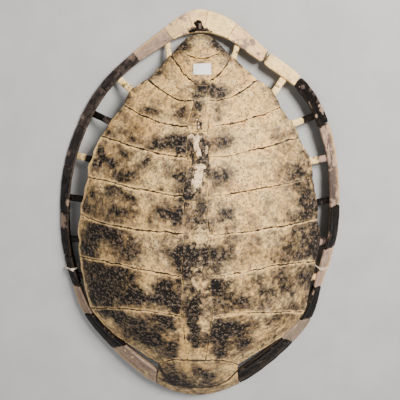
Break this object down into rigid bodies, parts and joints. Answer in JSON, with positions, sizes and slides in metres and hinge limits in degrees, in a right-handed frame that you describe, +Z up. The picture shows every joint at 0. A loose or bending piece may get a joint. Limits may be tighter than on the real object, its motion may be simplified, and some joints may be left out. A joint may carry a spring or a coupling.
{
  "type": "turtle shell",
  "caption": "Upper shell of a green sea turtle as clean dry bone: domed rib plates on a backbone, bare rib ends and a ring of rim bones.",
  "frame": {"origin": "middle of the shell's outline at the level of the surface it lies on", "axes": "+Y along the shell towards the tail, +Z up through the dome, +X to the viewer's right when the tail points away"},
  "size_m": [0.6528, 0.9062, 0.2078],
  "materials": {
    "disc_bone": "dry matte bone, tan with dark brown stain and fine pits",
    "rim_bone": "dry bone, some pieces black-brown with old horn film, some pinkish or cream",
    "label_paper": "blank matte sticker",
    "string": "twisted cream cotton"
  },
  "bodies": {
    "root": {"nuchal": "disc_bone", "neural_1": "disc_bone", "neural_2": "disc_bone", "neural_3": "disc_bone", "neural_4": "disc_bone", "neural_5": "disc_bone", "neural_6": "disc_bone", "neural_7": "disc_bone", "neural_8": "disc_bone", "neural_9": "disc_bone", "suprapygal_1": "disc_bone", "suprapygal_2": "disc_bone", "costal_left_1": "disc_bone", "costal_left_2": "disc_bone", "costal_left_3": "disc_bone", "costal_left_4": "disc_bone", "costal_left_5": "disc_bone", "costal_left_6": "disc_bone", "costal_left_7": "disc_bone", "costal_left_8": "disc_bone", "costal_right_1": "disc_bone", "costal_right_2": "disc_bone", "costal_right_3": "disc_bone", "costal_right_4": "disc_bone", "costal_right_5": "disc_bone", "costal_right_6": "disc_bone", "costal_right_7": "disc_bone", "costal_right_8": "disc_bone", "pygal": "rim_bone", "peripheral_left_1": "rim_bone", "peripheral_left_2": "rim_bone", "peripheral_left_3": "rim_bone", "peripheral_left_4": "rim_bone", "peripheral_left_5": "rim_bone", "peripheral_left_6": "rim_bone", "peripheral_left_7": "rim_bone", "peripheral_left_8": "rim_bone", "peripheral_left_9": "rim_bone", "peripheral_left_10": "rim_bone", "peripheral_left_11": "rim_bone", "peripheral_right_1": "rim_bone", "peripheral_right_2": "rim_bone", "peripheral_right_3": "rim_bone", "peripheral_right_4": "rim_bone", "peripheral_right_5": "rim_bone", "peripheral_right_6": "rim_bone", "peripheral_right_7": "rim_bone", "peripheral_right_8": "rim_bone", "peripheral_right_9": "rim_bone", "peripheral_right_10": "rim_bone", "peripheral_right_11": "rim_bone", "paper_label": "label_paper", "string_tie_left": "string", "string_tie_right": "string"}
  },
  "joints": []
}
